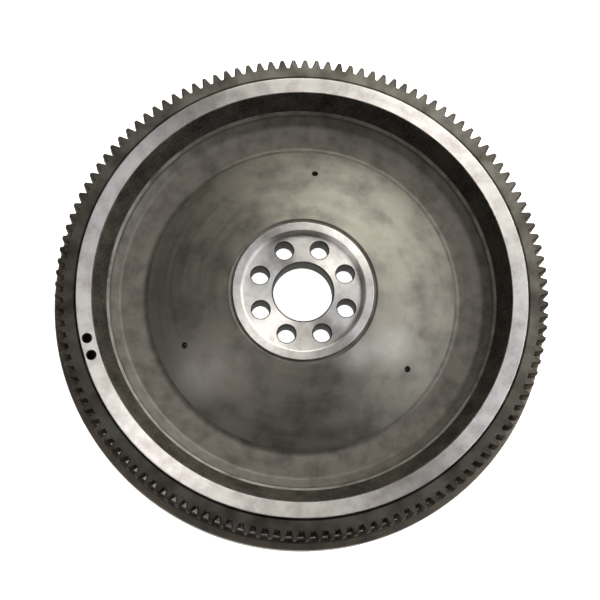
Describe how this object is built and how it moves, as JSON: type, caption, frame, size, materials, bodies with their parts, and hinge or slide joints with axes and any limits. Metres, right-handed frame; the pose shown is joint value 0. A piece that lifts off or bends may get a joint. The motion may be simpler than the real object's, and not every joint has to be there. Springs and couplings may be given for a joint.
{
  "type": "engine flywheel",
  "caption": "Deep-dished cast-iron engine flywheel with a shrunk-on starter ring gear, a bored hub with crank bolt holes, and clutch-cover dowels.",
  "frame": {"origin": "on the crankshaft axis, at the level of the clutch dowels' ends, which is what the part stands on", "axes": "+Z along the crankshaft axis towards the engine; +X and +Y across the wheel, with the two balance drillings on the -X side"},
  "size_m": [0.426, 0.426, 0.067],
  "materials": {
    "cast_iron_body": "as cast in the dish, turned on the rim, hub and clutch faces",
    "gear_steel": "dark hardened steel with cut teeth",
    "dowel_steel": "ground"
  },
  "bodies": {
    "root": {"flywheel_body": "cast_iron_body", "ring_gear": "gear_steel", "clutch_dowel_1": "dowel_steel", "clutch_dowel_2": "dowel_steel", "clutch_dowel_3": "dowel_steel"}
  },
  "joints": []
}
